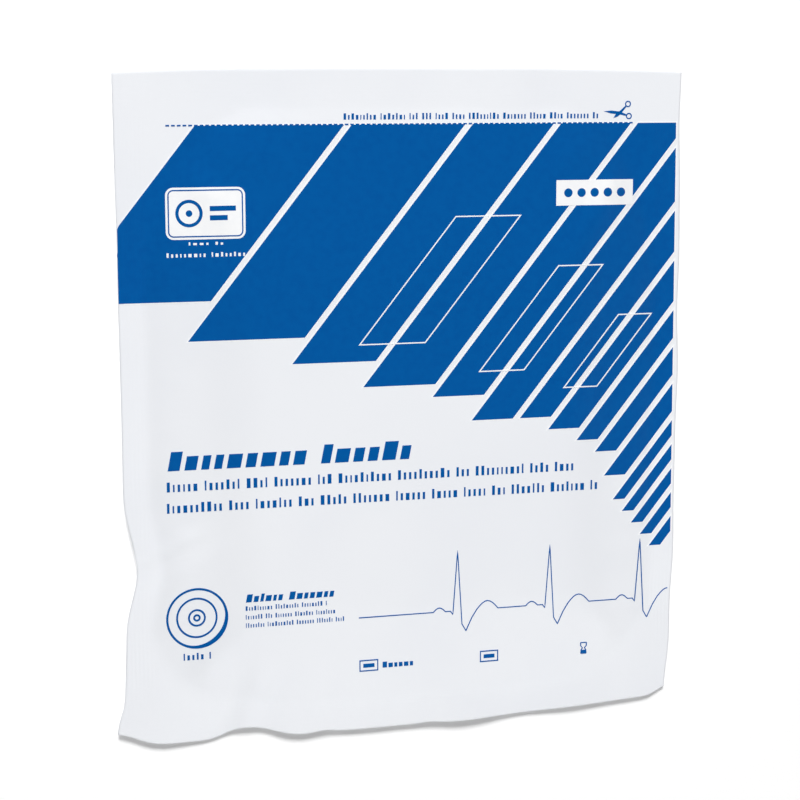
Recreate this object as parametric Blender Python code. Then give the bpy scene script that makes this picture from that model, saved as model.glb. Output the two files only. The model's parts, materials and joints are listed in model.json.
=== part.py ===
"""A sealed film pouch of disposable ECG electrodes, lying on its back.

Metres, +Z up. The pouch's width runs along X and its height along Y, with the head
end, where it is cut open, at +Y. The origin is at the middle of the underside.
"""

import math
from collections import namedtuple

import bmesh
import bpy
import numpy as np

MM = 0.001

# The flat pouch, measured between its cut edges
POUCH_WIDTH = 200 * MM
POUCH_HEIGHT = 232.6 * MM

# Heat seals on all four sides, where the two webs of film are one
SIDE_SEAL_WIDTH = 9 * MM
HEAD_SEAL_WIDTH = 12 * MM
FOOT_SEAL_WIDTH = 11 * MM
SEAL_THICKNESS = 0.45 * MM

# The stack of electrodes inside, and the slack film that climbs from the seals to it
STACK_HEIGHT = 14 * MM
SIDE_SLOPE_LENGTH = 38 * MM
FOOT_SLOPE_LENGTH = 36 * MM
HEAD_SLOPE_LENGTH = 72 * MM
STACK_CORNER_POWER = 2.0
SLOPE_POWER = 1.45
CONTACT_SHARE = 0.62

# How far the filled pouch holds its edges off the table
SIDE_LIFT = 4.4 * MM
FOOT_LIFT = 3.0 * MM
HEAD_LIFT = 2.4 * MM
CORNER_LIFT = 1.5 * MM
LEAST_LIFT = 0.3 * MM

# Slow waves along the sealed edges, and short gathers where the film leaves the seals
EDGE_WAVE_HEIGHT = 0.9 * MM
EDGE_WAVE_LENGTH = 58 * MM
EDGE_WAVE_REACH = 30 * MM
GATHER_HEIGHT = 0.75 * MM
GATHER_LENGTH = 17 * MM
GATHER_REACH = 26 * MM
QUICK_WAVE_LENGTH = 0.62
QUICK_WAVE_SHARE = 0.38

# Gathers and folds grow to their full height over the first part of the film's climb, and
# creases from dents show less on the back than on the front
FREE_FROM_FILL = 0.33
BACK_CREASE_SHARE = 0.6
FRONT_CREASE_SHARE = 0.8
VALLEY_SHARE = 0.45

# Soft unevenness of the contents under the film, in the inner part of the stack
CONTENTS_RELIEF = 0.55 * MM
CONTENTS_PITCH = 52 * MM
CONTENTS_STRETCH = 1.18
CONTENTS_SKEW = 0.4
CONTENTS_FROM_FILL = 0.5

# The foot edge climbs a little towards the right, and the ends bow out in their middle
FOOT_CUT_RISE = 2.0 * MM
FOOT_CUT_REACH = 90 * MM
END_BOW = 1.3 * MM

# The line along which the pouch is cut open, and where the print begins
CUT_LINE_FROM_HEAD = 18.8 * MM

# Mesh cells: across a seal, between the head seal and the cut line, and in the body. A
# body cell is narrower than it is tall, and its diagonal has the slant of the print.
SEAL_CELLS = 3
FLAP_CELLS = 2
CELL_WIDTH = 3.6 * MM
CELL_HEIGHT = 4.5 * MM
SHARP_ANGLE = 50

WAVE_SEED = 11

# A dent in a cut edge: its distance along the edge from the foot's left corner, how far
# the edge is pulled in, its length on each side, how far it buckles up, and the crease
# that runs inwards from it at an angle.
Dent = namedtuple("Dent", "edge place depth before after buckle crease angle width")
DENTS = (
    Dent("left", 63 * MM, 3.9 * MM, 22 * MM, 26 * MM, 2.6 * MM, 46 * MM, 24, 7.5 * MM),
    Dent("foot", 40 * MM, 4.3 * MM, 13 * MM, 22 * MM, 2.2 * MM, 40 * MM, 14, 7 * MM),
    Dent("foot", 68.5 * MM, 1.1 * MM, 5 * MM, 6 * MM, 0.9 * MM, 24 * MM, -16, 5 * MM),
    Dent("foot", 107.5 * MM, 0.9 * MM, 5 * MM, 6 * MM, 0.8 * MM, 26 * MM, 8, 5 * MM),
)

# A push on a corner of the pouch: which way the corner lies from the middle, how far it
# is pushed along X and Y, and how far along the side and along the end that is felt.
Corner = namedtuple("Corner", "side end push_x push_y side_reach end_reach")
CORNERS = (
    Corner(-1, -1, -1.4 * MM, 4.2 * MM, 46 * MM, 13 * MM),
    Corner(-1, -1, -2.5 * MM, 0, 15 * MM, 13 * MM),
    Corner(1, -1, -1.2 * MM, 2.6 * MM, 30 * MM, 7 * MM),
)
CORNER_DEPTH = 26 * MM

# A tension fold from a corner of the stack towards a corner of the pouch
Fold = namedtuple("Fold", "side end height width length angle")
FOLDS = (
    Fold(-1, -1, 2.2 * MM, 6.5 * MM, 62 * MM, 46),
    Fold(1, -1, 2.0 * MM, 6 * MM, 60 * MM, 48),
    Fold(-1, 1, 1.8 * MM, 7.5 * MM, 84 * MM, 54),
    Fold(1, 1, 2.1 * MM, 7 * MM, 86 * MM, 57),
    Fold(-1, -1, 1.1 * MM, 5 * MM, 52 * MM, 25),
    Fold(1, -1, 1.2 * MM, 5 * MM, 54 * MM, 70),
    Fold(-1, 1, 1.1 * MM, 6 * MM, 66 * MM, 33),
    Fold(1, 1, 1.0 * MM, 6 * MM, 68 * MM, 36),
)

# The print, counted in mesh cells: slanted stripes of ink that hang from the cut line,
# each one cell from the next. They start at a column, and end on a line that falls from
# the left edge towards the right and then runs down beside the lines of type.
FIRST_STRIPE_COLUMN = 8
STRIPE_COLUMNS = (14, 11, 8, 7, 5, 4, 3, 3, 2, 2, 2, 1, 1, 1, 1, 1)
STRIPE_GAP = 1
BARE_COLUMNS = 1
Turn = namedtuple("Turn", "from_left from_foot")
STRIPES_END_ON = (
    Turn(-12 * MM, 154 * MM),
    Turn(166 * MM, 100 * MM),
    Turn(184 * MM, 72 * MM),
    Turn(196 * MM, 44 * MM),
)

# The title is a row of bars, one for each word, with slanted ends
TITLE_COLUMN = 5
TITLE_FROM_FOOT = 99 * MM
WORD_COLUMNS = (7, 9, 6)
WORD_GAP = 1

# White panels left bare in the ink: how far their middles lie from the left and the foot
Panel = namedtuple("Panel", "from_left from_foot width height")
PANELS = (
    Panel(30.0 * MM, 184.8 * MM, 27 * MM, 17.4 * MM),
    Panel(167.9 * MM, 189.7 * MM, 28.5 * MM, 9 * MM),
)

FILM_COLOUR = (0.847, 0.863, 0.896, 1.0)
FILM_ROUGHNESS = 0.38
INK_COLOUR = (0.0003, 0.1022, 0.3515, 1.0)
INK_ROUGHNESS = 0.42


def smooth(t):
    """Ease from 0 to 1 as t goes from 0 to 1, flat at both ends."""
    t = np.clip(t, 0.0, 1.0)
    return t * t * (3 - 2 * t)


def fade(distance, reach):
    """1 at no distance, easing to 0 at the reach and past it."""
    return 1 - smooth(np.abs(distance) / reach)


def one_sided_fade(distance, before, after):
    """A fade that reaches further on one side than on the other."""
    return np.where(distance < 0, fade(distance, before), fade(distance, after))


def from_side(x):
    """Distance in from the nearer side's cut edge."""
    return POUCH_WIDTH / 2 - np.abs(x)


def from_foot(y):
    """Distance up from the foot's cut edge."""
    return y + POUCH_HEIGHT / 2


def from_head(y):
    """Distance down from the head's cut edge."""
    return POUCH_HEIGHT / 2 - y


def cells_for(length, cell):
    """How many cells of about one size fill a length."""
    return max(8, round(length / cell))


def stations(*stretches):
    """Mesh lines over stretches laid end to end, each with its length and cell count."""
    total = sum(length for length, cells in stretches)
    lines = [-total / 2]
    for length, cells in stretches:
        start = lines[-1]
        lines += [start + length * number / cells for number in range(1, cells + 1)]
    return np.array(lines)


def mesh_lines():
    """The columns and the rows of the mesh. The cut line is a row."""
    side = (SIDE_SEAL_WIDTH, SEAL_CELLS)
    between = POUCH_WIDTH - 2 * SIDE_SEAL_WIDTH
    columns = stations(side, (between, cells_for(between, CELL_WIDTH)), side)
    body = POUCH_HEIGHT - FOOT_SEAL_WIDTH - CUT_LINE_FROM_HEAD
    rows = stations(
        (FOOT_SEAL_WIDTH, SEAL_CELLS),
        (body, cells_for(body, CELL_HEIGHT)),
        (CUT_LINE_FROM_HEAD - HEAD_SEAL_WIDTH, FLAP_CELLS),
        (HEAD_SEAL_WIDTH, SEAL_CELLS),
    )
    return columns, rows


def fill_share(x, y):
    """0 in the seals and 1 over the stack, with rounded corners between."""
    side = np.clip((from_side(x) - SIDE_SEAL_WIDTH) / SIDE_SLOPE_LENGTH, 0, 1)
    foot = np.clip((from_foot(y) - FOOT_SEAL_WIDTH) / FOOT_SLOPE_LENGTH, 0, 1)
    head = np.clip((from_head(y) - HEAD_SEAL_WIDTH) / HEAD_SLOPE_LENGTH, 0, 1)
    end = np.minimum(foot, head)
    short = (1 - side) ** STACK_CORNER_POWER + (1 - end) ** STACK_CORNER_POWER
    return np.clip(1 - short ** (1 / STACK_CORNER_POWER), 0, 1)


def wave(along, length, phases):
    """An irregular wave of unit height: two sines whose lengths share no multiple."""
    slow = np.sin(2 * math.pi * along / length + phases[0])
    quick = np.sin(2 * math.pi * along / (length * QUICK_WAVE_LENGTH) + phases[1])
    return (1 - QUICK_WAVE_SHARE) * slow + QUICK_WAVE_SHARE * quick


def edge_phases():
    """Fixed phases for the waves and gathers of each of the four edges."""
    numbers = np.random.default_rng(WAVE_SEED)
    return numbers.uniform(0, 2 * math.pi, (4, 4))


def edge_waves(x, y, phases, height, length, reach, start, which):
    """Waves that run along each edge and die away from a start distance inwards."""
    edges = (
        (POUCH_WIDTH / 2 + x, y),
        (POUCH_WIDTH / 2 - x, y),
        (from_foot(y), x),
        (from_head(y), x),
    )
    total = np.zeros_like(x)
    for (inwards, along), phase in zip(edges, phases):
        total += height * fade(inwards - start, reach) * wave(along, length, phase[which:])
    return total


def near_corner(x, y, side, end):
    """Distance from a corner of the pouch, along X and along Y."""
    across = POUCH_WIDTH / 2 - side * x
    along = POUCH_HEIGHT / 2 - end * y
    return across, along


def dent_axes(dent, x, y):
    """For a dent: distance along its edge from its middle, and distance inwards."""
    if dent.edge == "left":
        return from_foot(y) - dent.place, POUCH_WIDTH / 2 + x
    return POUCH_WIDTH / 2 + x - dent.place, from_foot(y)


def dent_crease(dent, x, y):
    """Height of the crease that runs inwards from a dent: a ridge with a valley beside it."""
    along, inwards = dent_axes(dent, x, y)
    across = along - inwards * math.tan(math.radians(dent.angle))
    run = fade(inwards, dent.crease)
    ridge = fade(across, dent.width)
    valley = fade(across - dent.width, dent.width)
    return dent.buckle * run * (ridge - VALLEY_SHARE * valley)


def corner_folds(x, y):
    """Tension folds that fan out from the corners, highest half way along."""
    total = np.zeros_like(x)
    for fold in FOLDS:
        across, along = near_corner(x, y, fold.side, fold.end)
        turn = math.radians(fold.angle)
        run = across * math.cos(turn) + along * math.sin(turn)
        off = -across * math.sin(turn) + along * math.cos(turn)
        lengthwise = np.sin(math.pi * np.clip(run / fold.length, 0, 1))
        total += fold.height * lengthwise * fade(off, fold.width)
    return total


def contents_relief(x, y):
    """The uneven top of the stack, felt through the film."""
    across = np.sin(2 * math.pi * x / CONTENTS_PITCH)
    along = np.cos(2 * math.pi * y / (CONTENTS_PITCH * CONTENTS_STRETCH) + CONTENTS_SKEW * across)
    return CONTENTS_RELIEF * (1 + across * along) / 2


def edge_lift(x, y):
    """Height of the sealed edges over the table: low at the corners."""
    u = 2 * x / POUCH_WIDTH
    v = 2 * y / POUCH_HEIGHT
    end_lift = np.where(v > 0, HEAD_LIFT, FOOT_LIFT)
    side = (SIDE_LIFT - CORNER_LIFT) * (1 - v**2) * u**2
    end = (end_lift - CORNER_LIFT) * (1 - u**2) * v**2
    return CORNER_LIFT + side + end


def pulled(x, y):
    """The outline as it lies: dents, bowed ends and pushed corners."""
    new_x = x.copy()
    new_y = y.copy()
    u = np.clip(2 * x / POUCH_WIDTH, -1, 1)
    v = np.clip(2 * y / POUCH_HEIGHT, -1, 1)
    new_y -= END_BOW * u**4 * v**3
    climb = smooth((x - POUCH_WIDTH / 2 + FOOT_CUT_REACH) / FOOT_CUT_REACH)
    new_y += FOOT_CUT_RISE * climb * fade(from_foot(y), FOOT_CUT_REACH)
    for dent in DENTS:
        along, inwards = dent_axes(dent, x, y)
        pull = dent.depth * one_sided_fade(along, dent.before, dent.after)
        pull = pull * fade(inwards, dent.crease)
        if dent.edge == "left":
            new_x += pull
        else:
            new_y += pull
    for corner in CORNERS:
        across, along = near_corner(x, y, corner.side, corner.end)
        new_x += corner.push_x * fade(along, corner.side_reach) * fade(across, CORNER_DEPTH)
        new_y += corner.push_y * fade(across, corner.end_reach) * fade(along, CORNER_DEPTH)
    return new_x, new_y


def web_heights(x, y):
    """Heights of the back web and of the front web over the table."""
    phases = edge_phases()
    fill = fill_share(x, y)
    off_table = 1 - smooth(fill / CONTACT_SHARE)
    low = edge_lift(x, y)
    low = low + edge_waves(
        x, y, phases, EDGE_WAVE_HEIGHT, EDGE_WAVE_LENGTH, EDGE_WAVE_REACH, 0.0, 0
    )
    for dent in DENTS:
        low = low + BACK_CREASE_SHARE * dent_crease(dent, x, y)
    back = np.maximum(low, LEAST_LIFT) * off_table

    free = smooth(fill / FREE_FROM_FILL)
    gathers = edge_waves(
        x, y, phases, GATHER_HEIGHT, GATHER_LENGTH, GATHER_REACH, SIDE_SEAL_WIDTH, 2
    )
    gap = STACK_HEIGHT * (1 - (1 - fill) ** SLOPE_POWER)
    gap = gap + free * gathers
    gap = gap + free * corner_folds(x, y)
    inner = smooth((fill - CONTENTS_FROM_FILL) / (1 - CONTENTS_FROM_FILL))
    gap = gap + inner * contents_relief(x, y)
    for dent in DENTS:
        gap = gap + free * FRONT_CREASE_SHARE * dent_crease(dent, x, y)
    front = back + SEAL_THICKNESS + np.maximum(gap, 0.0)
    return back, front


def satin(name, colour, roughness):
    """A satin finish of one colour."""
    material = bpy.data.materials.new(name)
    material.use_nodes = True
    shader = material.node_tree.nodes["Principled BSDF"]
    shader.inputs["Base Color"].default_value = colour
    shader.inputs["Roughness"].default_value = roughness
    shader.inputs["Metallic"].default_value = 0.0
    return material


def flat_sheet(mesh, columns, rows):
    """A sheet of triangles whose corners lie on the columns and rows."""
    made = bmesh.ops.create_grid(
        mesh, x_segments=len(columns) - 1, y_segments=len(rows) - 1, size=0.5
    )
    for vertex in made["verts"]:
        column = round((vertex.co.x + 0.5) * (len(columns) - 1))
        row = round((vertex.co.y + 0.5) * (len(rows) - 1))
        vertex.co.x = columns[column]
        vertex.co.y = rows[row]
    cells = {face for vertex in made["verts"] for face in vertex.link_faces}
    bmesh.ops.triangulate(mesh, faces=list(cells), quad_method="FIXED")
    return made["verts"]


def cell_middle(place, lines):
    """The middle of the mesh cell that a place lies in, from the first line."""
    cell = math.floor(place)
    return (lines[cell] + lines[cell + 1]) / 2 - lines[0]


def span_start(place, widths, gap):
    """Where the span that a place falls in starts, in a row of spans that starts at 0."""
    start = 0
    for width in widths:
        if start < place < start + width:
            return start
        start += width + gap
    return None


def stripe_foot(start, slant, head):
    """Height at which a stripe that starts on the cut line ends."""
    for turn, after in zip(STRIPES_END_ON, STRIPES_END_ON[1:]):
        rise = after.from_foot - turn.from_foot
        run = after.from_left - turn.from_left - slant * rise
        share = (start - slant * (head - turn.from_foot) - turn.from_left) / run
        if share <= 1:
            break
    return turn.from_foot + min(share, 1) * rise


def in_panel(x, y):
    """Whether a place lies in one of the white panels."""
    for panel in PANELS:
        beside = abs(x - panel.from_left) < panel.width / 2
        if beside and abs(y - panel.from_foot) < panel.height / 2:
            return True
    return False


def inked(column, row, columns, rows):
    """Whether ink covers a triangle, given its middle in mesh cells from the corner."""
    x = cell_middle(column, columns)
    y = cell_middle(row, rows)
    cell_width = columns[SEAL_CELLS + 1] - columns[SEAL_CELLS]
    cell_height = rows[SEAL_CELLS + 1] - rows[SEAL_CELLS]
    if abs(y - TITLE_FROM_FOOT) < cell_height / 2:
        across = column - row % 1 - TITLE_COLUMN
        if span_start(across, WORD_COLUMNS, WORD_GAP) is not None:
            return True

    head_row = len(rows) - 1 - SEAL_CELLS - FLAP_CELLS
    bare_from = len(columns) - 1 - BARE_COLUMNS
    if row > head_row or column > bare_from or in_panel(x, y):
        return False
    across = column + head_row - row - FIRST_STRIPE_COLUMN
    stripe = span_start(across, STRIPE_COLUMNS, STRIPE_GAP)
    if stripe is None:
        return False
    start = SIDE_SEAL_WIDTH + (FIRST_STRIPE_COLUMN - SEAL_CELLS + stripe) * cell_width
    return y > stripe_foot(start, cell_width / cell_height, POUCH_HEIGHT - CUT_LINE_FROM_HEAD)


def print_face(faces, columns, rows):
    """Give the second material to the triangles of the flat face that ink covers."""
    for face in faces:
        corners = [vertex.co for vertex in face.verts]
        column = np.interp([co.x for co in corners], columns, range(len(columns))).mean()
        row = np.interp([co.y for co in corners], rows, range(len(rows))).mean()
        face.material_index = int(inked(column, row, columns, rows))


def formed(vertices, web):
    """Bend a flat sheet to the form of the back web (0) or the front web (1)."""
    x = np.array([vertex.co.x for vertex in vertices])
    y = np.array([vertex.co.y for vertex in vertices])
    heights = web_heights(x, y)[web]
    new_x, new_y = pulled(x, y)
    for vertex, point in zip(vertices, zip(new_x, new_y, heights)):
        vertex.co = point


def centred(mesh):
    """Put the origin under the middle of the bounding box."""
    points = np.array([vertex.co for vertex in mesh.verts])
    middle = (points.min(axis=0) + points.max(axis=0)) / 2
    bmesh.ops.translate(mesh, verts=mesh.verts, vec=(-middle[0], -middle[1], 0.0))


def sealed_pouch():
    """Two webs of film formed over the stack, joined all round at the cut edge."""
    columns, rows = mesh_lines()
    mesh = bmesh.new()
    front = flat_sheet(mesh, columns, rows)
    front_faces = set(mesh.faces)
    print_face(front_faces, columns, rows)
    formed(front, 1)
    formed(flat_sheet(mesh, columns, rows), 0)
    back_faces = [face for face in mesh.faces if face not in front_faces]
    bmesh.ops.reverse_faces(mesh, faces=back_faces)
    rims = [edge for edge in mesh.edges if edge.is_boundary]
    bmesh.ops.bridge_loops(mesh, edges=rims)

    flat = [face for face in mesh.faces if all(v.co.z == 0 for v in face.verts)]
    bmesh.ops.dissolve_faces(mesh, faces=flat, use_verts=True)
    bmesh.ops.triangulate(mesh, faces=mesh.faces)
    bmesh.ops.recalc_face_normals(mesh, faces=mesh.faces)
    centred(mesh)

    data = bpy.data.meshes.new("sealed_pouch")
    mesh.to_mesh(data)
    mesh.free()
    data.shade_smooth()
    data.set_sharp_from_angle(angle=math.radians(SHARP_ANGLE))
    data.materials.append(satin("pouch_film", FILM_COLOUR, FILM_ROUGHNESS))
    data.materials.append(satin("blue_ink", INK_COLOUR, INK_ROUGHNESS))
    pouch = bpy.data.objects.new("sealed_pouch", data)
    bpy.context.scene.collection.objects.link(pouch)
    return pouch


for old in list(bpy.data.objects):
    bpy.data.objects.remove(old, do_unlink=True)

made = sealed_pouch()
size = [round(1000 * side, 1) for side in made.dimensions]
print("sealed_pouch", size, "mm,", len(made.data.polygons), "triangles")
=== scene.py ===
# %% [markdown]
# # A sealed pouch of electrodes
#
# The object is a flat bag of white plastic film, sealed by heat along its four sides and
# filled with a low stack of foam electrodes. It lies on its back, and its print faces up.
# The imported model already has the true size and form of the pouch. This lesson gives it
# the smooth film, the ink of its print, and a plain studio to be seen in.

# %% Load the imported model
import json
import math
import random

import bpy
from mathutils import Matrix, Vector

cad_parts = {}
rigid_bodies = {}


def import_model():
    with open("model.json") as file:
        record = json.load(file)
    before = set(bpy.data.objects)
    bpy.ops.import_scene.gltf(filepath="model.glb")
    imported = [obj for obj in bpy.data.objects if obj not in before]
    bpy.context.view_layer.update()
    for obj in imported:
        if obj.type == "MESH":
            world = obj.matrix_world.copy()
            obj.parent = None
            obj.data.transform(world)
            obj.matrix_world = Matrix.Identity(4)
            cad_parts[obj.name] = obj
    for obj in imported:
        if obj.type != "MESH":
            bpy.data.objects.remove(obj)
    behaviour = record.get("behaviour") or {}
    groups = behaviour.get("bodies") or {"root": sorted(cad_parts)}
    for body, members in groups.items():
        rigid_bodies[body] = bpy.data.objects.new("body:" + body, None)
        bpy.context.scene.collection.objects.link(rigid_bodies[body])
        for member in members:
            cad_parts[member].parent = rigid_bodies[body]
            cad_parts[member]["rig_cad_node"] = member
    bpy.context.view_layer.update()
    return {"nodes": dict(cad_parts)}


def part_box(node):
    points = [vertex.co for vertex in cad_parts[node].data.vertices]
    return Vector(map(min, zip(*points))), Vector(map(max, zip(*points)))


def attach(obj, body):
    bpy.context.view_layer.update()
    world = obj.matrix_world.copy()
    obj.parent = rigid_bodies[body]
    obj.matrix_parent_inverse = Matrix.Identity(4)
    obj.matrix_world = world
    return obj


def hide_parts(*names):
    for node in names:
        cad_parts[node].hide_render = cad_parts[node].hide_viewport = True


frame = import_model()
pouch_low, pouch_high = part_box("sealed_pouch")
MM = 0.001
TINY = 0.01 * MM
print("pouch", [round((b - a) / MM, 1) for a, b in zip(pouch_low, pouch_high)], "mm")

# %% [markdown]
# ## The camera comes first
#
# All of the layout below was measured in millimetres on the flat face of the pouch, with
# the middle of the face as zero, X to the right of the print and Y up it. The camera was
# found in the same millimetres, from the perspective of the four corners. Its lens has
# the photograph's angle of view, so a point of the face lands where the photo shows it.
# The measured face is the plane of the sealed edges, a few millimetres over the table.

# %% Place the camera
FACE_HALF_WIDTH = 100 * MM
FACE_HALF_HEIGHT = 116.3 * MM
SEAM_PLANE_HEIGHT = 3.4 * MM
CAMERA_ON_FACE = Vector((-164.87, 108.92, 627.09)) * MM
CAMERA_RIGHT = Vector((0.96817, -0.00205, 0.25027))
CAMERA_UP = Vector((0.04262, 0.98671, -0.15679))
SENSOR_WIDTH = 36.0
FOCAL_LENGTH = 84.6

face_middle = Vector(
    (pouch_high.x - FACE_HALF_WIDTH, pouch_high.y - FACE_HALF_HEIGHT, SEAM_PLANE_HEIGHT)
)
eye = face_middle + CAMERA_ON_FACE

bpy.ops.object.camera_add(location=eye)
camera = bpy.context.object
camera.name = "studio_camera"
camera.data.sensor_width = SENSOR_WIDTH
camera.data.lens = FOCAL_LENGTH
backwards = CAMERA_RIGHT.cross(CAMERA_UP)
turn = camera.matrix_world.to_3x3()
turn.col[0] = CAMERA_RIGHT
turn.col[1] = CAMERA_UP
turn.col[2] = backwards
camera.rotation_euler = turn.to_euler()
bpy.context.scene.camera = camera
print("camera at", [round(c, 3) for c in eye])

# %% [markdown]
# ## Two small helpers for modelling
#
# Operators act on whatever is selected, so each step first clears the selection and then
# picks its one object. A modifier that has done its work is applied, so that the mesh
# itself holds the result.

# %% Selection and modifier helpers
def pick(thing):
    """Make one object the only selected and active one."""
    bpy.ops.object.select_all(action="DESELECT")
    thing.select_set(True)
    bpy.context.view_layer.objects.active = thing


def apply_modifier(thing, kind, **settings):
    """Add a modifier, set it and apply it."""
    modifier = thing.modifiers.new(kind.title(), kind)
    for name, value in settings.items():
        setattr(modifier, name, value)
    pick(thing)
    bpy.ops.object.modifier_apply(modifier=modifier.name)


# %% [markdown]
# ## The film
#
# The film of the pouch is one closed skin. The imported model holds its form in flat
# triangles a few millimetres wide, which would catch the light as facets. So the film is a
# copy of that model, turned back into four-sided cells and smoothed by a subdivision
# surface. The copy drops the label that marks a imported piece. Two places must not be
# rounded off: the cut edge of the film, and the flat patch that the pouch rests on. Their
# edges are creased, so the smoothing keeps them.

# %% Copy the pouch and make its cells four-sided
CUT_EDGE_ANGLE = math.radians(50)
FLAT_HEIGHT = 0.001 * MM
FLAT_ANGLE = math.radians(1)
PAIRING_ANGLE = math.radians(60)
FILM_LEVELS = 2

film = frame["nodes"]["sealed_pouch"].copy()
film.data = film.data.copy()
film.name = "pouch_film"
film.data.name = "pouch_film"
del film["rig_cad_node"]
bpy.context.scene.collection.objects.link(film)
pick(film)
bpy.ops.object.mode_set(mode="EDIT")
bpy.ops.mesh.select_all(action="SELECT")
bpy.ops.mesh.remove_doubles(threshold=TINY)
bpy.ops.mesh.select_all(action="DESELECT")
bpy.ops.object.mode_set(mode="OBJECT")
for face in film.data.polygons:
    face.select = all(film.data.vertices[i].co.z < FLAT_HEIGHT for i in face.vertices)
bpy.ops.object.mode_set(mode="EDIT")
bpy.ops.mesh.select_mode(type="FACE")
bpy.ops.mesh.dissolve_limited(angle_limit=FLAT_ANGLE)
bpy.ops.mesh.region_to_loop()
bpy.ops.transform.edge_crease(value=1.0)
bpy.ops.mesh.select_all(action="SELECT")
bpy.ops.mesh.tris_convert_to_quads(
    face_threshold=PAIRING_ANGLE, shape_threshold=PAIRING_ANGLE
)
bpy.ops.mesh.select_mode(type="EDGE")
bpy.ops.mesh.select_all(action="DESELECT")
bpy.ops.mesh.edges_select_sharp(sharpness=CUT_EDGE_ANGLE)
bpy.ops.transform.edge_crease(value=1.0)
bpy.ops.object.mode_set(mode="OBJECT")
print("film cells", len(film.data.polygons))

# %% Smooth the film
apply_modifier(
    film,
    "SUBSURF",
    levels=FILM_LEVELS,
    render_levels=FILM_LEVELS,
    boundary_smooth="PRESERVE_CORNERS",
)
pick(film)
bpy.ops.object.shade_smooth_by_angle(angle=CUT_EDGE_ANGLE)
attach(film, "root")
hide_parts("sealed_pouch")
print("film after smoothing", len(film.data.polygons), "cells")

# %% [markdown]
# ## A small class for shader maths
#
# A material is a network of nodes. Written node by node, its maths is hard to read, so
# this class wraps a socket: an expression such as `1 - mask * 0.5` adds the Math nodes
# that it needs. Any other node comes from the one method `node`.

# %% Shader expressions
class Wire:
    """A node's output that can be used in an expression."""

    def __init__(self, paint, socket):
        self.paint = paint
        self.socket = socket

    def math(self, operation, *values):
        return self.paint.node("ShaderNodeMath", {"operation": operation}, *values)

    def __add__(self, other):
        return self.math("ADD", self, other)

    def __sub__(self, other):
        return self.math("SUBTRACT", self, other)

    def __mul__(self, other):
        return self.math("MULTIPLY", self, other)

    def __rsub__(self, other):
        return self.math("SUBTRACT", other, self)

    __radd__ = __add__
    __rmul__ = __mul__

    def absolute(self):
        return self.math("ABSOLUTE", self)

    def sine(self):
        return self.math("SINE", self)

    def most(self, other):
        return self.math("MAXIMUM", self, other)

    def ease(self, start, stop):
        """0 up to start and 1 from stop on, eased between."""
        settings = {"interpolation_type": "SMOOTHSTEP"}
        return self.paint.node("ShaderNodeMapRange", settings, self, start, stop, 0.0, 1.0)


class Paint:
    """One material, or the world, and the nodes that it is made of."""

    def __init__(self, owner, shader="Principled BSDF"):
        owner.use_nodes = True
        self.material = owner
        self.tree = owner.node_tree
        self.shader = self.tree.nodes[shader]

    def plug(self, socket, value):
        """Link a wire to a socket, or give the socket a plain value."""
        if isinstance(value, Wire):
            self.tree.links.new(value.socket, socket)
        else:
            socket.default_value = value

    def node(self, kind, settings=None, *values, **named):
        """Add a node with its inputs given in their order or by name."""
        made = self.tree.nodes.new(kind)
        for name, value in (settings or {}).items():
            setattr(made, name, value)
        for socket, value in zip(made.inputs, values):
            self.plug(socket, value)
        for name, value in named.items():
            self.plug(made.inputs[name.replace("_", " ")], value)
        return Wire(self, made.outputs[0])

    def output(self, wire, name):
        """Another output of the node that a wire comes from."""
        return Wire(self, wire.socket.node.outputs[name])

    def place(self):
        """The point's place on the object, in metres."""
        coordinates = self.node("ShaderNodeTexCoord")
        return self.output(coordinates, "Object")

    def stretched(self, vector, scale):
        """A place scaled along each axis, so that a pattern on it stretches."""
        return self.node("ShaderNodeMapping", None, Vector=vector, Scale=scale)

    def split(self, vector):
        """The three parts of a place."""
        parts = self.node("ShaderNodeSeparateXYZ", None, vector)
        return [self.output(parts, axis) for axis in "XYZ"]

    def noise(self, vector, size, detail=2.0):
        """Cloudy noise from 0 to 1, whose spots are about as wide as size."""
        return self.node(
            "ShaderNodeTexNoise", None, Vector=vector, Scale=1 / size, Detail=detail
        )

    def seen(self):
        """1 for the camera and for what glass and metal show, and 0 for the light itself."""
        rays = self.node("ShaderNodeLightPath")
        seen = self.output(rays, "Is Camera Ray").most(self.output(rays, "Is Glossy Ray"))
        return seen.most(self.output(rays, "Is Transmission Ray"))

    def blend(self, share, colour, other):
        """The first colour at share 0 and the other one at share 1."""
        return self.node("ShaderNodeMixRGB", None, share, colour, other)

    def bump(self, height):
        """Turn a height in metres into a normal."""
        return self.node("ShaderNodeBump", None, Strength=1.0, Distance=1.0, Height=height)

    def finish(self, **values):
        """Fill the shader's own inputs by name."""
        for name, value in values.items():
            self.plug(self.shader.inputs[name.replace("_", " ")], value)
        return self.material


# %% [markdown]
# ## The film's finish
#
# The film is white with a touch of blue, and satin: it shows soft highlights and no sharp
# reflection. Three things break its evenness, all of them small. Blown film is wavy at
# the scale of a finger and grainy at the scale of a hair. Its thickness changes a little,
# so its white does too. And the hot jaws that made the seals left fine ribs in them and
# pressed them a little smoother. Ink lies on the same film, so it shares this relief.

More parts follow.
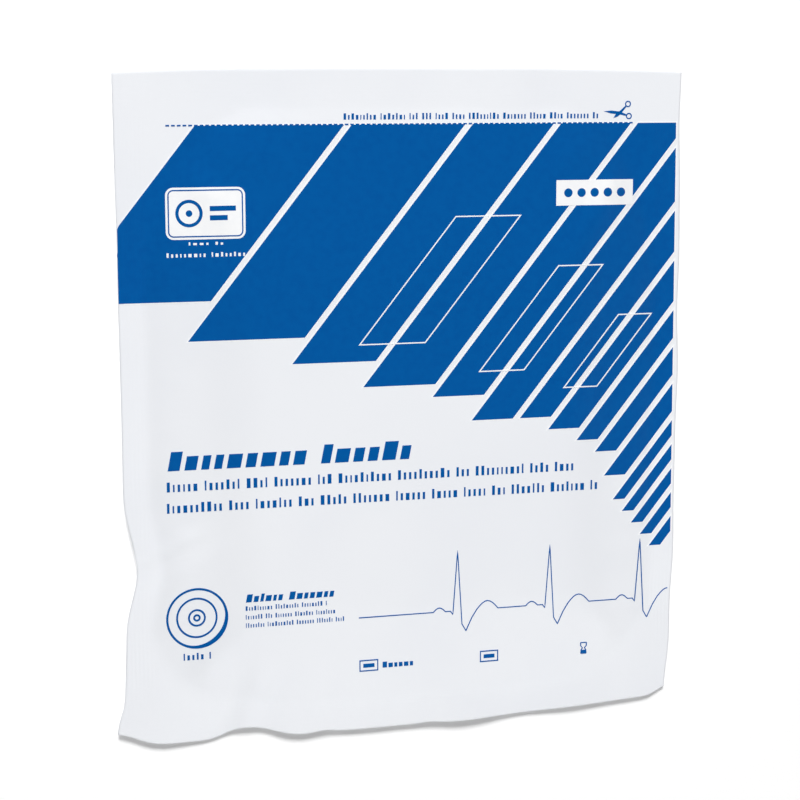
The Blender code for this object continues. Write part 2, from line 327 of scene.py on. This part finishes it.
# %% Relief of the film
FILM_COLOUR = (0.847, 0.863, 0.896, 1.0)
THIN_FILM_COLOUR = (0.825, 0.843, 0.882, 1.0)
FILM_ROUGHNESS = 0.40
CLOUD_SIZE = 45 * MM
CLOUD_FROM, CLOUD_TO = 0.35, 0.75
CLOUD_ROUGHENS = 0.06
SEAL_SMOOTHS = 0.05
RIPPLE_SIZE = 16 * MM
RIPPLE_HEIGHT = 0.10 * MM
GRAIN_SIZE = 0.7 * MM
GRAIN_HEIGHT = 0.006 * MM
CRINKLE_SIZE = 5 * MM
CRINKLE_STRETCH = 5.0
CRINKLE_HEIGHT = 0.16 * MM
CRINKLE_REACH = 24 * MM
RIB_PITCH = 1.4 * MM
RIB_HEIGHT = 0.007 * MM
SIDE_SEAL = 9 * MM
END_SEAL = 11.5 * MM
SEAL_BLEND = 1.5 * MM


def film_relief(paint):
    """The height of the film's unevenness and the mask of its seals."""
    place = paint.place()
    x, y, _ = paint.split(place)
    side = (x - face_middle.x).absolute()
    end = (y - face_middle.y).absolute()
    side_edge = FACE_HALF_WIDTH - SIDE_SEAL
    end_edge = FACE_HALF_HEIGHT - END_SEAL
    on_side = side.ease(side_edge - SEAL_BLEND, side_edge)
    on_end = end.ease(end_edge - SEAL_BLEND, end_edge)
    near_side = side.ease(side_edge - CRINKLE_REACH, side_edge)
    near_end = end.ease(end_edge - CRINKLE_REACH, end_edge)

    ripple = paint.noise(place, RIPPLE_SIZE) * RIPPLE_HEIGHT
    grain = paint.noise(place, GRAIN_SIZE, detail=1.0) * GRAIN_HEIGHT
    from_side = paint.stretched(place, (1 / CRINKLE_STRETCH, 1, 1))
    from_end = paint.stretched(place, (1, 1 / CRINKLE_STRETCH, 1))
    crinkle = paint.noise(from_side, CRINKLE_SIZE) * near_side
    crinkle = (crinkle + paint.noise(from_end, CRINKLE_SIZE) * near_end) * CRINKLE_HEIGHT
    turns = 2 * math.pi / RIB_PITCH
    on_side_alone = on_side * (1 - on_end)
    ribs = ((x * turns).sine() * on_side_alone + (y * turns).sine() * on_end) * RIB_HEIGHT
    return ripple + grain + crinkle + ribs, on_side.most(on_end)


# %% Film material
paint = Paint(bpy.data.materials.new("white_film"))
relief, on_seal = film_relief(paint)
cloud = paint.noise(paint.place(), CLOUD_SIZE)
film_finish = paint.finish(
    Base_Color=paint.blend(cloud.ease(CLOUD_FROM, CLOUD_TO), FILM_COLOUR, THIN_FILM_COLOUR),
    Roughness=FILM_ROUGHNESS + cloud * CLOUD_ROUGHENS - on_seal * SEAL_SMOOTHS,
    Normal=paint.bump(relief),
)
film.data.materials.clear()
film.data.materials.append(film_finish)
print("film finish has", len(paint.tree.nodes), "nodes")

# %% Inks
BLUE = (0.0002, 0.0940, 0.3400, 1.0)
DEEP_BLUE = (0.0002, 0.0840, 0.3200, 1.0)
WHITE = (0.930, 0.935, 0.945, 1.0)
THIN_WHITE = (0.900, 0.910, 0.930, 1.0)
INK_ROUGHNESS = 0.36
INK_GLOSS = 0.09
SPOT_SIZE = 2.5 * MM
SPOT_FROM, SPOT_TO = 0.3, 0.8
SPOT_ROUGHENS = 0.08
SEAL_SMOOTHS_INK = 0.04


def ink(name, colour, other):
    """A satin ink: a little uneven in strength, on the film's own relief."""
    paint = Paint(bpy.data.materials.new(name))
    relief, on_seal = film_relief(paint)
    spots = paint.noise(paint.place(), SPOT_SIZE, detail=3.0)
    return paint.finish(
        Base_Color=paint.blend(spots.ease(SPOT_FROM, SPOT_TO), colour, other),
        Roughness=INK_ROUGHNESS + spots * SPOT_ROUGHENS - on_seal * SEAL_SMOOTHS_INK,
        Specular_IOR_Level=INK_GLOSS,
        Normal=paint.bump(relief),
    )


blue_ink = ink("blue_ink", BLUE, DEEP_BLUE)
white_ink = ink("white_ink", WHITE, THIN_WHITE)
print("inks", blue_ink.name, white_ink.name)

# %% [markdown]
# ## How the print is made
#
# A printer lays blue and white ink on the flat film before the pouch is made, and then
# the ink bends with the film. The same is done here. Each shape is first drawn flat, in
# millimetres on the face. Then it is cut into small cells, and each corner of each cell
# is sent onto the film along the camera's line of sight, so that it comes to lie where it
# was measured and follows every rise of the film. Last, a solidify modifier gives the
# ink a thickness, most of it below the film's surface. The inks lie in layers: white
# edging first, then blue, then what is printed over the blue.

# %% Flat shapes with straight sides
def rectangle(left, foot, right, head):
    """A flat rectangle on the face."""
    middle = ((left + right) / 2 * MM, (foot + head) / 2 * MM, 0)
    bpy.ops.object.select_all(action="DESELECT")
    bpy.ops.mesh.primitive_plane_add(size=1, location=middle)
    shape = bpy.context.object
    shape.scale = ((right - left) * MM, (head - foot) * MM, 1)
    bpy.ops.object.transform_apply(location=True, rotation=False, scale=True)
    return shape


def edit_all(shape):
    """Open a shape in edit mode with all of it selected."""
    pick(shape)
    bpy.ops.object.mode_set(mode="EDIT")
    bpy.ops.mesh.select_mode(type="FACE")
    bpy.ops.mesh.select_all(action="SELECT")


def trim(shape, start, stop):
    """Cut a flat shape along a line, and drop what is right of it from start to stop."""
    to_the_right = Vector((stop[1] - start[1], start[0] - stop[0], 0)).normalized()
    edit_all(shape)
    bpy.ops.mesh.bisect(
        plane_co=(start[0] * MM, start[1] * MM, 0), plane_no=to_the_right, clear_outer=True
    )
    bpy.ops.object.mode_set(mode="OBJECT")


def drop_faces(shape, unwanted):
    """Delete the faces whose middle, in millimetres, answers the question."""
    for face in shape.data.polygons:
        face.select = unwanted(face.center.x / MM, face.center.y / MM)
    bpy.ops.object.mode_set(mode="EDIT")
    bpy.ops.mesh.delete(type="FACE")
    bpy.ops.object.mode_set(mode="OBJECT")


def outlined(shape, width):
    """Keep only a rim of the given width inside the shape's edge."""
    edit_all(shape)
    bpy.ops.mesh.inset(thickness=width * MM)
    bpy.ops.mesh.delete(type="FACE")
    bpy.ops.object.mode_set(mode="OBJECT")
    return shape


def joined(shapes):
    """Join flat shapes into one."""
    pick(shapes[0])
    for shape in shapes:
        shape.select_set(True)
    if len(shapes) > 1:
        bpy.ops.object.join()
    return bpy.context.object


# %% Round shapes
ROUND_STEPS = 72
CORNER_STEPS = 6


def rounded(shape, radius):
    """Round the corners of a flat shape."""
    edit_all(shape)
    bpy.ops.mesh.bevel(offset=radius * MM, segments=CORNER_STEPS, affect="VERTICES")
    bpy.ops.object.mode_set(mode="OBJECT")
    return shape


def disc(x, y, radius):
    """A flat round spot."""
    bpy.ops.object.select_all(action="DESELECT")
    bpy.ops.mesh.primitive_circle_add(
        vertices=ROUND_STEPS, radius=radius * MM, fill_type="NGON", location=(x * MM, y * MM, 0)
    )
    bpy.ops.object.transform_apply(location=True, rotation=False, scale=False)
    return bpy.context.object


def ring(x, y, radius, width):
    """A flat ring."""
    shape = disc(x, y, radius)
    share = (radius - width) / radius
    edit_all(shape)
    bpy.ops.mesh.inset(thickness=TINY)
    bpy.ops.transform.resize(value=(share, share, 1), center_override=(x * MM, y * MM, 0))
    bpy.ops.mesh.delete(type="FACE")
    bpy.ops.object.mode_set(mode="OBJECT")
    return shape


# %% Lines drawn with a pen, and filled outlines
def poly_spline(curve, points, closed=False):
    """Add straight strokes between points, given in millimetres."""
    spline = curve.splines.new("POLY")
    spline.points.add(len(points) - 1)
    for point, (x, y) in zip(spline.points, points):
        point.co = (x * MM, y * MM, 0, 1)
    spline.use_cyclic_u = closed


def to_mesh(curve):
    """Put a curve in the scene and turn it into a mesh."""
    thing = bpy.data.objects.new(curve.name, curve)
    bpy.context.scene.collection.objects.link(thing)
    pick(thing)
    bpy.ops.object.convert(target="MESH")
    return bpy.context.object


def pen_line(points, width):
    """A flat ribbon along a path, as a flat nib draws it."""
    nib_curve = bpy.data.curves.new("nib", "CURVE")
    nib_curve.dimensions = "3D"
    poly_spline(nib_curve, [(-width / 2, 0), (width / 2, 0)])
    nib = bpy.data.objects.new("nib", nib_curve)
    bpy.context.scene.collection.objects.link(nib)
    path = bpy.data.curves.new("pen_line", "CURVE")
    path.dimensions = "3D"
    path.twist_mode = "Z_UP"
    path.bevel_mode = "OBJECT"
    path.bevel_object = nib
    poly_spline(path, points)
    line = to_mesh(path)
    bpy.data.objects.remove(nib)
    return line


def filled(*outlines):
    """A flat shape inside an outline. A second outline inside it leaves a hole."""
    curve = bpy.data.curves.new("filled", "CURVE")
    curve.dimensions = "2D"
    curve.fill_mode = "BOTH"
    for points in outlines:
        poly_spline(curve, points, closed=True)
    return to_mesh(curve)


# %% Lay ink on the film
INK_CELL = 1.25 * MM
INK_RISE = 0.06 * MM
LAYER_STEP = 0.04 * MM
INK_DEPTH = 0.06 * MM
EDGE_STEP = 0.12
EDGE_TRIES = 120
LEAST_UP = 0.5
EDGING_LAYER, BLUE_LAYER, OVER_LAYER, TOP_LAYER = range(4)


def landing(spot):
    """Where a line of sight meets the film. A spot beyond its side is drawn inwards."""
    inwards = Vector((math.copysign(EDGE_STEP * MM, -spot.x), 0, 0))
    beyond = False
    for _ in range(EDGE_TRIES):
        hit, place, normal, _ = film.ray_cast(eye, face_middle + spot - eye)
        if hit and normal.z > LEAST_UP:
            break
        beyond = True
        spot = spot + inwards
    if beyond:
        _, place, normal, _ = film.ray_cast(eye, face_middle + spot + inwards - eye)
    return place, normal, beyond


def print_on_film(name, layer, finish, *shapes):
    """Divide flat shapes into cells, send them onto the film and give them thickness."""
    shape = joined(shapes)
    shape.name = name
    shape.data.name = name
    corners = [vertex.co for vertex in shape.data.vertices]
    edit_all(shape)
    for axis in (0, 1):
        low = min(corner[axis] for corner in corners)
        high = max(corner[axis] for corner in corners)
        across = Vector((1, 0, 0)) if axis == 0 else Vector((0, 1, 0))
        for line in range(math.ceil(low / INK_CELL), math.floor(high / INK_CELL) + 1):
            bpy.ops.mesh.select_all(action="SELECT")
            bpy.ops.mesh.bisect(plane_co=across * line * INK_CELL, plane_no=across)
    bpy.ops.mesh.select_all(action="DESELECT")
    bpy.ops.object.mode_set(mode="OBJECT")
    for face in shape.data.polygons:
        face.select = face.normal.z < 0
    bpy.ops.object.mode_set(mode="EDIT")
    bpy.ops.mesh.flip_normals()
    bpy.ops.object.mode_set(mode="OBJECT")
    rise = INK_RISE + layer * LAYER_STEP
    drawn_in = 0
    for vertex in shape.data.vertices:
        place, normal, beyond = landing(vertex.co.copy())
        vertex.co = place + normal * rise
        drawn_in += beyond
    apply_modifier(shape, "SOLIDIFY", thickness=rise + INK_DEPTH, offset=-1.0)
    pick(shape)
    bpy.ops.object.shade_smooth_by_angle(angle=CUT_EDGE_ANGLE)
    shape.data.materials.clear()
    shape.data.materials.append(finish)
    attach(shape, "root")
    "ink" if finish == blue_ink else "film"
    print(name, len(shape.data.polygons), "faces,", drawn_in, "corners drawn in from the edge")


# %% [markdown]
# ## The blue fields
#
# The head of the face is blue, and the blue thins out down the right side. Here that is
# a plain design of slanted stripes, broad at the left and narrower to the right. They
# hang from the cut line and stop short of the right edge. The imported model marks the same
# stripes in its mesh cells, so their sizes are counted in those cells. How far down the
# stripes reach is a line through four points. One stripe is a sheet of ink with its sides
# cut away. A hair of bare white edges each one, as it does where one ink is kept clear of
# another.

# %% Stripes
CELL_WIDTH = 3.57
CELL_HEIGHT = 4.507
HEAD_LINE = 97.5
FIELD_LEFT = -100.5
FIELD_FOOT = -80.0
RIGHT_MARGIN = (Vector((99.6, -80.0)), Vector((98.2, 97.5)))
FIRST_STRIPE = -72.8
STRIPE_CELLS = (14, 11, 8, 7, 5, 4, 3, 3, 2, 2, 2, 1, 1, 1, 1, 1)
GAP_CELLS = 1
GAP_TRIM = 0.45
STRIPES_END_ON = ((-112, 37.7), (66, -16.3), (84, -44.3), (96, -72.3))
STRIPE_SLANT = Vector((CELL_WIDTH, CELL_HEIGHT))
EDGING = 0.4
EDGING_LEFT = -98.0


def slanted(left, breadth, foot, head=HEAD_LINE, swell=0.0):
    """A slanted stripe between two heights. Left is where its left side meets the cut line."""
    shape = rectangle(FIELD_LEFT, foot - swell, RIGHT_MARGIN[0].x + swell, head + swell)
    aside = swell * STRIPE_SLANT.length / STRIPE_SLANT.y
    near = Vector((left - aside, HEAD_LINE))
    far = Vector((left + breadth + aside, HEAD_LINE))
    margin = Vector((swell, 0))
    trim(shape, near, near - STRIPE_SLANT)
    trim(shape, far - STRIPE_SLANT, far)
    trim(shape, RIGHT_MARGIN[0] + margin, RIGHT_MARGIN[1] + margin)
    return shape


def stripe_foot(start):
    """The height at which a stripe ends, in whole cells below the cut line."""
    slope = STRIPE_SLANT.x / STRIPE_SLANT.y
    for a, b in zip(STRIPES_END_ON, STRIPES_END_ON[1:]):
        run = b[0] - a[0] - slope * (b[1] - a[1])
        share = (start + slope * (a[1] - HEAD_LINE) - a[0]) / run
        if share <= 1:
            break
    foot = a[1] + min(share, 1) * (b[1] - a[1])
    return HEAD_LINE - round((HEAD_LINE - foot) / CELL_HEIGHT) * CELL_HEIGHT


stripes = []
edgings = []
start = FIRST_STRIPE
for cells in STRIPE_CELLS:
    breadth = cells * CELL_WIDTH
    sizes = (start - GAP_TRIM, breadth + 2 * GAP_TRIM, stripe_foot(start))
    stripes.append(slanted(*sizes))
    edging = outlined(slanted(*sizes, swell=EDGING), EDGING)
    trim(edging, (EDGING_LEFT, HEAD_LINE), (EDGING_LEFT, FIELD_FOOT))
    edgings.append(edging)
    start += breadth + GAP_CELLS * CELL_WIDTH
print_on_film("stripe_edging", EDGING_LAYER, white_ink, *edgings)
print_on_film("blue_stripes", BLUE_LAYER, blue_ink, *stripes)

# %% [markdown]
# ## Thin white frames over the blue
#
# Three thin white frames overlap the stripes and tie them together. Each is the rim of a
# stripe that starts below the cut line. It is listed as the place where its left side
# would meet the cut line, its breadth, and the heights of its foot and its head.

# %% White frames
FRAME_LINE = 0.42
FRAMES = (
    (42.0, 24.0, 22.0, 66.0),
    (94.0, 17.0, 11.0, 48.0),
    (131.0, 13.0, 4.0, 30.0),
)

frames = [outlined(slanted(*sizes), FRAME_LINE) for sizes in FRAMES]
print_on_film("white_frames", OVER_LAYER, white_ink, *frames)

# %% [markdown]
# ## The cut line
#
# A dashed line runs along the upper edge of the blue, with a small pair of scissors at
# its end. The line is one long bar, cut at each dash, with the gaps deleted.

# %% Dashes
DASH_LEFT = -82.9
DASH_RIGHT = 81.7
DASH_PITCH = 1.9
DASH_LENGTH = 1.25
DASH_FOOT = 97.35
DASH_HEAD = 97.85


def keep_spans(shape, spans):
    """Cut a bar at the ends of the spans and delete what is between them."""
    edit_all(shape)
    for span in spans:
        for x in span:
            bpy.ops.mesh.select_all(action="SELECT")
            bpy.ops.mesh.bisect(plane_co=(x * MM, 0, 0), plane_no=(1, 0, 0))
    bpy.ops.object.mode_set(mode="OBJECT")
    drop_faces(shape, lambda x, y: not any(a < x < b for a, b in spans))


dash_count = int((DASH_RIGHT - DASH_LEFT) / DASH_PITCH)
dash_starts = [DASH_LEFT + number * DASH_PITCH for number in range(dash_count + 1)]
dash_spans = [(x, x + DASH_LENGTH) for x in dash_starts]
dashes = rectangle(DASH_LEFT, DASH_FOOT, dash_spans[-1][1], DASH_HEAD)
keep_spans(dashes, dash_spans)

# %% Scissors
SCISSORS_PIVOT = (76.9, 101.0)
BLADE_TIPS = ((71.0, 101.6), (74.6, 99.3))
HANDLES = ((80.3, 99.9), (79.9, 104.1))
HANDLE_RADIUS = 1.1
HANDLE_LINE = 0.38
BLADE_WIDTH = 1.0
BELLY_SHARE = 0.45


def blade(tip, pivot, handle):
    """A blade from its tip, over its belly and the pivot, to the edge of its handle."""
    tip, pivot, handle = Vector(tip), Vector(pivot), Vector(handle)
    back = (pivot - tip).normalized()
    side = Vector((-back.y, back.x)) * BLADE_WIDTH / 2
    shank = pivot + (handle - pivot) * (1 - HANDLE_RADIUS / (handle - pivot).length)
    thin = side / 2
    belly = tip.lerp(pivot, BELLY_SHARE)
    points = (tip, belly - side, pivot - side, shank - thin, shank + thin, pivot + side)
    points += (belly + side,)
    return filled([tuple(point) for point in points])


scissors = []
for tip, handle in zip(BLADE_TIPS, HANDLES):
    scissors.append(blade(tip, SCISSORS_PIVOT, handle))
    scissors.append(ring(*handle, HANDLE_RADIUS, HANDLE_LINE))
print_on_film("cut_line", OVER_LAYER, blue_ink, dashes, *scissors)

# %% [markdown]
# ## Lines of type
#
# The pack carries several lines of type. Here each is a row of small plain blocks, one
# for each letter, with wider gaps between words, so that a line keeps its place, its
# length and its weight but says nothing. A row starts as one bar. It is cut at each
# block's sides and once across at the height of the small letters.

# %% A line of blocks
BLOCK_WIDTHS = (0.85, 0.95, 1.0, 1.0, 1.1, 1.25)
WORD_LETTERS = (3, 10)
TALL_SHARE = 0.25
SMALL_HEIGHT = 0.74
WORD_GAP = 0.8
LIGHT_INK = 0.45
BOLD_INK = 0.68
BOLD_LEAN = 0.2


def block_line(left, right, base, height, letters, ink_share=LIGHT_INK, lean=0.0):
    """A row of blocks from left to right, with about the given number of letters."""
    dice = random.Random(round(abs(left) * 10) + letters)
    pitch = (right - left) / letters
    spans = []
    tall = []
    x = left
    while x < right - pitch:
        for number in range(dice.randint(*WORD_LETTERS)):
            step = pitch * dice.choice(BLOCK_WIDTHS)
            if x + step > right:
                break
            spans.append((x, x + step - pitch * (1 - ink_share)))
            tall.append(number == 0 or dice.random() < TALL_SHARE)
            x += step
        x += pitch * WORD_GAP
    stretch = (right - left) / (spans[-1][1] - left)
    spans = [(left + (a - left) * stretch, left + (b - left) * stretch) for a, b in spans]
    shape = rectangle(left, base, right, base + height)
    waist = base + height * SMALL_HEIGHT
    edit_all(shape)
    bpy.ops.mesh.bisect(plane_co=(0, waist * MM, 0), plane_no=(0, 1, 0))
    bpy.ops.object.mode_set(mode="OBJECT")
    keep_spans(shape, spans)
    low = [span for span, is_tall in zip(spans, tall) if not is_tall]
    drop_faces(shape, lambda x, y: y > waist and any(a < x < b for a, b in low))
    for vertex in shape.data.vertices:
        vertex.co.x += (vertex.co.y - base * MM) * lean
    return shape


# %% Print the lines of type
title = block_line(-84.7, 0.2, -18.8, 6.6, 18, ink_share=BOLD_INK, lean=BOLD_LEAN)
print_on_film("title_blocks", BLUE_LAYER, blue_ink, title)
print_on_film(
    "type_blocks",
    BLUE_LAYER,
    blue_ink,
    block_line(-22.5, 68.8, 99.2, 2.1, 76),
    block_line(-85.1, 61.3, -26.1, 3.4, 78),
    block_line(-85.2, 70.5, -33.5, 3.4, 83),
    block_line(-58.5, -27.4, -66.7, 2.8, 16, ink_share=BOLD_INK, lean=BOLD_LEAN),
    block_line(-58.6, -29.8, -69.7, 1.6, 32),
    block_line(-58.6, -26.8, -72.8, 1.6, 36),
    block_line(-58.6, -23.6, -75.8, 1.6, 40),
    block_line(-80.6, -71.1, -85.9, 2.4, 7),
    block_line(-9.6, 1.6, -94.1, 2.1, 7, ink_share=BOLD_INK),
)
print_on_film(
    "white_type_blocks",
    OVER_LAYER,
    white_ink,
    block_line(-75.9, -64.3, 57.9, 1.0, 8),
    block_line(-83.4, -56.9, 53.9, 1.5, 19),
)

# %% [markdown]
# ## Two white panels
#
# Two white panels sit on the blue: a rounded one at the left, with a thin blue border
# inside it, and a plain one at the right for the count. The first holds a plain mark of
# a ring and two bars, and the second a row of five discs. A box is listed as its left,
# foot, right and head.

# %% Rounded panel
PANEL = (-83.5, 59.8, -56.6, 77.15)
PANEL_CORNER = 2.6
BORDER_INSET = 0.75
BORDER_LINE = 0.45
MARK_MIDDLE = (-75.6, 68.5)
MARK_RADIUS = 4.6
MARK_LINE = 1.1
MARK_BARS = ((-68.6, 69.2, -59.8, 70.9), (-68.6, 66.1, -62.6, 67.8))


def inner(box, inset):
    """A box drawn in by the same distance on all sides."""
    return box[0] + inset, box[1] + inset, box[2] - inset, box[3] - inset


panel = rounded(rectangle(*PANEL), PANEL_CORNER)
border = rounded(rectangle(*inner(PANEL, BORDER_INSET)), PANEL_CORNER - BORDER_INSET)
mark = [ring(*MARK_MIDDLE, MARK_RADIUS, MARK_LINE), disc(*MARK_MIDDLE, MARK_LINE)]
mark += [rectangle(*bar) for bar in MARK_BARS]
print_on_film("mark_panel", OVER_LAYER, white_ink, panel)
print_on_film("panel_mark", TOP_LAYER, blue_ink, outlined(border, BORDER_LINE), *mark)

# %% Count panel
COUNT_PANEL = (53.7, 68.9, 82.2, 77.8)
COUNT = 5
COUNT_PITCH = 4.9
COUNT_RADIUS = 1.55

count_x = (COUNT_PANEL[0] + COUNT_PANEL[2]) / 2
count_y = (COUNT_PANEL[1] + COUNT_PANEL[3]) / 2
places = [count_x + (number - (COUNT - 1) / 2) * COUNT_PITCH for number in range(COUNT)]
print_on_film("count_panel", OVER_LAYER, white_ink, rectangle(*COUNT_PANEL))
print_on_film(
    "count_discs", TOP_LAYER, blue_ink, *[disc(x, count_y, COUNT_RADIUS) for x in places]
)

# %% [markdown]
# ## The picture of an electrode
#
# A line drawing at the lower left shows an electrode from above as four rings: the foam
# disc, the gel and the stud. The line of the outer ring is heavier at the lower right,
# like the shaded edge of a disc: its hole is drawn in on that side.

# %% Rings
RING_MIDDLE = (-75.7, -70.95)
RING_LINE = 0.66
INNER_RADII = (7.2, 3.1, 1.3)
OUTER_MIDDLE = (-75.55, -71.15)
OUTER_RADIUS = 10.8
OUTER_LINE = 0.76
OUTER_HEAVY = 0.85
HEAVY_TOWARDS = math.radians(-45)
HEAVY_FOCUS = 2.5


def heavy_ring(x, y, radius, width, heavy):
    """A flat ring whose line swells by the last value towards one side."""
    edge, hole = [], []
    for step in range(ROUND_STEPS):
        angle = 2 * math.pi * step / ROUND_STEPS
        facing = max(math.cos(angle - HEAVY_TOWARDS), 0)
        hole_radius = radius - width - heavy * facing**HEAVY_FOCUS
        edge.append((x + radius * math.cos(angle), y + radius * math.sin(angle)))
        hole.append((x + hole_radius * math.cos(angle), y + hole_radius * math.sin(angle)))
    return filled(edge, hole)


rings = [heavy_ring(*OUTER_MIDDLE, OUTER_RADIUS, OUTER_LINE, OUTER_HEAVY)]
rings += [ring(*RING_MIDDLE, radius, RING_LINE) for radius in INNER_RADII]
print_on_film("electrode_rings", BLUE_LAYER, blue_ink, *rings)

# %% [markdown]
# ## The heartbeat line
#
# A thin trace of three heartbeats crosses the lower right. One beat is built from the
# waves that every textbook names: a low round P, the sharp Q, R and S, and a broad T.
# Round waves are half turns of a sine, listed as their start, length and height. The
# corners of the sharp waves are listed as points. All of them are counted from the
# beat's peak and from the trace's base, and the trace repeats the beat.

# %% Heartbeat trace
TRACE_LEFT = -18.2
TRACE_RIGHT = 99.0
TRACE_BASE = -75.2
TRACE_LINE = 0.36
BEAT_PEAKS = (18.1, 52.8, 87.5)
P_WAVE = (-9.0, 4.5, 1.5)
T_WAVE = (7.2, 8.0, 3.0)
SHARP_WAVES = ((-2.6, 0.0), (-1.7, -1.2), (0.0, 22.2), (1.7, -5.0), (3.2, -7.6), (5.6, -2.4))
WAVE_STEPS = 8
LEG_SHARES = (0.0, 0.06, 0.9)


def round_wave(peak, wave):
    """Points over one low wave that starts a distance from the beat's peak."""
    offset, length, height = wave
    turns = [step / WAVE_STEPS for step in range(WAVE_STEPS + 1)]
    start = peak + offset
    return [(start + length * t, TRACE_BASE + height * math.sin(math.pi * t)) for t in turns]


def eased_leg(a, b):
    """Extra points near the ends of a steep leg keep the ribbon's width at its corners."""
    return [(a[0] + (b[0] - a[0]) * s, a[1] + (b[1] - a[1]) * s) for s in LEG_SHARES]


trace = [(TRACE_LEFT, TRACE_BASE)]
for peak in BEAT_PEAKS:
    trace += round_wave(peak, P_WAVE)
    sharp = [(peak + x, TRACE_BASE + y) for x, y in SHARP_WAVES]
    for a, b in zip(sharp, sharp[1:]):
        trace += eased_leg(a, b)
    trace += round_wave(peak, T_WAVE)
trace = [point for point in trace if point[0] < TRACE_RIGHT]
print_on_film("heartbeat_trace", BLUE_LAYER, blue_ink, pen_line(trace, TRACE_LINE))

# %% [markdown]
# ## Small symbols
#
# Along the foot stand two framed boxes and an hourglass with sand in its lower bulb. The
# boxes hold a plain bar each. The hourglass is described by its half width at a few
# shares of its height, counted from the head. The air in it is a hole of the same kind,
# and the sand is what the hole leaves.

# %% Boxes and hourglass
SYMBOL_LINE = 0.4
SYMBOL_BOXES = ((-18.1, -95.0, -11.2, -90.8), (26.6, -95.0, 33.5, -90.8))
BOX_BAR_INSET = 1.4
GLASS_X, GLASS_HEAD = 66.2, -90.5
GLASS_HEIGHT = 4.4
GLASS = ((0, 1.15), (0.06, 1.3), (0.3, 1.3), (0.49, 0.6), (0.66, 1.1), (0.94, 1.2), (1, 1.05))
AIR = ((0.08, 0.9), (0.29, 0.92), (0.48, 0.22), (0.5, 0.22), (0.67, 0.74))


def upright(profile):
    """An outline that is the same on both sides of the hourglass's middle line."""
    right = [(GLASS_X + half, GLASS_HEAD - GLASS_HEIGHT * share) for share, half in profile]
    left = [(2 * GLASS_X - x, y) for x, y in reversed(right)]
    return right + left


symbols = []
for box in SYMBOL_BOXES:
    symbols.append(outlined(rectangle(*box), SYMBOL_LINE))
    symbols.append(rectangle(*inner(box, BOX_BAR_INSET)))
symbols.append(filled(upright(GLASS), upright(AIR)))
print_on_film("foot_symbols", BLUE_LAYER, blue_ink, *symbols)

# %% [markdown]
# ## The studio
#
# The pouch lies on a plain white table. In the photograph its film is the same white all
# over, and a soft shadow falls below the foot alone. So the key lamp stands at the head
# end, a little to the left, where it throws the shadow past the foot. It would also leave
# the slopes that face away from it darker. A weak, low fill lamp stands opposite and makes
# up for that, and throws no shadow of its own. Some light comes from all round. The film
# in the photograph has no highlights, so the lamps make none. Each lamp is listed with
# its place, its size, its power in watts, and whether it casts a shadow. The table shows
# white to the camera but still keeps the pouch's shadow. It gets a little help far from
# the lamps, and the surroundings show white too.

# %% Table, lamps and surroundings
TABLE_SIZE = 6.0
TABLE_WHITE = (0.97, 0.97, 0.97, 1.0)
TABLE_ROUGHNESS = 0.9
TABLE_TOP_UP = 0.065
FAR_TOP_UP = 0.80
FAR_FROM, FAR_TO = 0.3, 1.5
AMBIENT = 0.12
LAMPS = (
    ("key_light", (-0.68, 3.15, 3.15), 1.2, 211.0, True),
    ("fill_light", (0.55, -2.7, 0.54), 0.9, 66.0, False),
)

bpy.ops.mesh.primitive_plane_add(size=TABLE_SIZE, location=(0, 0, 0))
table = bpy.context.object
table.name = "studio_table"
paint = Paint(bpy.data.materials.new("table_white"))
far = paint.node("ShaderNodeVectorMath", {"operation": "LENGTH"}, paint.place())
far = paint.output(far, "Value").ease(FAR_FROM, FAR_TO)
paint.finish(
    Base_Color=TABLE_WHITE,
    Roughness=TABLE_ROUGHNESS,
    Emission_Color=paint.seen() * (far * FAR_TOP_UP + TABLE_TOP_UP),
    Emission_Strength=1.0,
)
table.data.materials.append(paint.material)

world = bpy.data.worlds.new("studio_world")
bpy.context.scene.world = world
sky = Paint(world, "Background")
sky.finish(Color=(1, 1, 1, 1), Strength=sky.seen() * (1 - AMBIENT) + AMBIENT)

for name, place, size, power, casts_shadow in LAMPS:
    bpy.ops.object.light_add(type="AREA", location=place)
    lamp = bpy.context.object
    lamp.name = name
    lamp.data.size = size
    lamp.data.energy = power
    lamp.data.use_shadow = casts_shadow
    lamp.visible_glossy = False
    lamp.rotation_euler = (-Vector(place)).to_track_quat("-Z", "Y").to_euler()

bpy.context.scene.view_settings.view_transform = "Standard"
